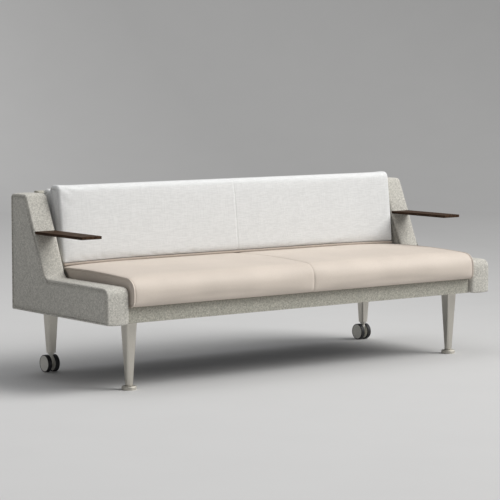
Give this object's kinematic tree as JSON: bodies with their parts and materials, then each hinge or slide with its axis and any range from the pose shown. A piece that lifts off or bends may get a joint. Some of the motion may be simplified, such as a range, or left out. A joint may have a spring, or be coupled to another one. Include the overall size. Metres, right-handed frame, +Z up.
{
  "type": "sofa bed",
  "caption": "Sofa bed with low padded arms and slim wooden arm caps, one seat cushion and a book-folded mattress as its back cushion, on tapered metal legs with casters behind.",
  "frame": {"origin": "centre of the overall box, on the floor under the sofa", "axes": "+X along the seat, towards the right as seen from the front; +Y to the rear; +Z up"},
  "size_m": [2.1, 0.771, 0.8212],
  "materials": {
    "arm_cloth": "mottled felt",
    "back_cloth": "mottled weave",
    "plywood": "raw",
    "timber": "raw",
    "walnut": "satin",
    "seat_cloth": "smooth coated cloth",
    "panel_cloth": "smooth coated cloth",
    "pad_linen": "fine woven",
    "strip_cloth": "woven",
    "dust_black": "non-woven",
    "strap_black": "elastic webbing",
    "wire_steel": "drawn wire",
    "black_steel": "satin",
    "zinc_steel": "zinc plated",
    "aluminium": "satin",
    "hub_grey": "satin",
    "tyre_black": "matt"
  },
  "bodies": {
    "frame": {"left_arm_cover": "arm_cloth", "left_arm_board": "plywood", "left_arm_cap": "walnut", "left_cap_bracket": "black_steel", "left_side_beam": "timber", "left_rear_block": "timber", "front_left_leg_plate": "black_steel", "front_left_leg": "aluminium", "rear_left_leg_plate": "black_steel", "rear_left_leg": "aluminium", "right_arm_cover": "arm_cloth", "right_arm_board": "plywood", "right_arm_cap": "walnut", "right_cap_bracket": "black_steel", "right_side_beam": "timber", "right_rear_block": "timber", "front_right_leg_plate": "black_steel", "front_right_leg": "aluminium", "rear_right_leg_plate": "black_steel", "rear_right_leg": "aluminium", "cap_screws": "zinc_steel", "front_rail": "back_cloth", "front_beam": "timber", "rear_beam": "timber", "deck_beam": "timber", "centre_beam": "timber", "seat_deck": "plywood", "dust_cloth": "dust_black", "arm_bolts": "zinc_steel", "back_cover": "back_cloth", "back_board": "plywood", "back_panel": "panel_cloth", "back_screws": "zinc_steel", "seat_cushion": "seat_cloth", "strap_rod": "wire_steel", "leg_screws": "zinc_steel", "left_strap": "strap_black", "left_strap_hook": "wire_steel", "middle_strap": "strap_black", "middle_strap_hook": "wire_steel", "right_strap": "strap_black", "right_strap_hook": "wire_steel"},
    "mattress": {"rear_pad": "pad_linen", "spine_strip": "strip_cloth"},
    "front_pad": {"front_pad": "pad_linen"},
    "left_glide": {"left_glide": "zinc_steel"},
    "left_caster": {"left_caster_body": "hub_grey", "left_caster_pins": "zinc_steel"},
    "left_outer_wheel": {"left_outer_hub": "hub_grey", "left_outer_tyre": "tyre_black"},
    "left_inner_wheel": {"left_inner_hub": "hub_grey", "left_inner_tyre": "tyre_black"},
    "right_glide": {"right_glide": "zinc_steel"},
    "right_caster": {"right_caster_body": "hub_grey", "right_caster_pins": "zinc_steel"},
    "right_outer_wheel": {"right_outer_hub": "hub_grey", "right_outer_tyre": "tyre_black"},
    "right_inner_wheel": {"right_inner_hub": "hub_grey", "right_inner_tyre": "tyre_black"}
  },
  "joints": [
    {"name": "mattress_lift", "type": "slide", "parent": "frame", "child": "mattress", "axis": [0, 0, 1], "range_m": [0, 0.12], "deforming": ["left_strap", "middle_strap", "right_strap"]},
    {"name": "front_pad_fold", "type": "hinge", "parent": "mattress", "child": "front_pad", "pos_m": [0, 0.1725, 0.50416], "axis": [1, 0, 0], "range_deg": [0, 95]},
    {"name": "left_glide_level", "type": "slide", "parent": "frame", "child": "left_glide", "axis": [0, 0, 1], "range_m": [-0.01, 0]},
    {"name": "left_caster_swivel", "type": "hinge", "parent": "frame", "child": "left_caster", "pos_m": [-0.8845, 0.3365, 0.085], "axis": [0, 0, 1], "continuous": true},
    {"name": "left_outer_wheel_roll", "type": "hinge", "parent": "left_caster", "child": "left_outer_wheel", "pos_m": [-0.8845, 0.3475, 0.0375], "axis": [1, 0, 0], "continuous": true},
    {"name": "left_inner_wheel_roll", "type": "hinge", "parent": "left_caster", "child": "left_inner_wheel", "pos_m": [-0.8845, 0.3475, 0.0375], "axis": [1, 0, 0], "continuous": true},
    {"name": "right_glide_level", "type": "slide", "parent": "frame", "child": "right_glide", "axis": [0, 0, 1], "range_m": [-0.01, 0]},
    {"name": "right_caster_swivel", "type": "hinge", "parent": "frame", "child": "right_caster", "pos_m": [0.8845, 0.3365, 0.085], "axis": [0, 0, 1], "continuous": true},
    {"name": "right_outer_wheel_roll", "type": "hinge", "parent": "right_caster", "child": "right_outer_wheel", "pos_m": [0.8845, 0.3475, 0.0375], "axis": [1, 0, 0], "continuous": true},
    {"name": "right_inner_wheel_roll", "type": "hinge", "parent": "right_caster", "child": "right_inner_wheel", "pos_m": [0.8845, 0.3475, 0.0375], "axis": [1, 0, 0], "continuous": true}
  ]
}
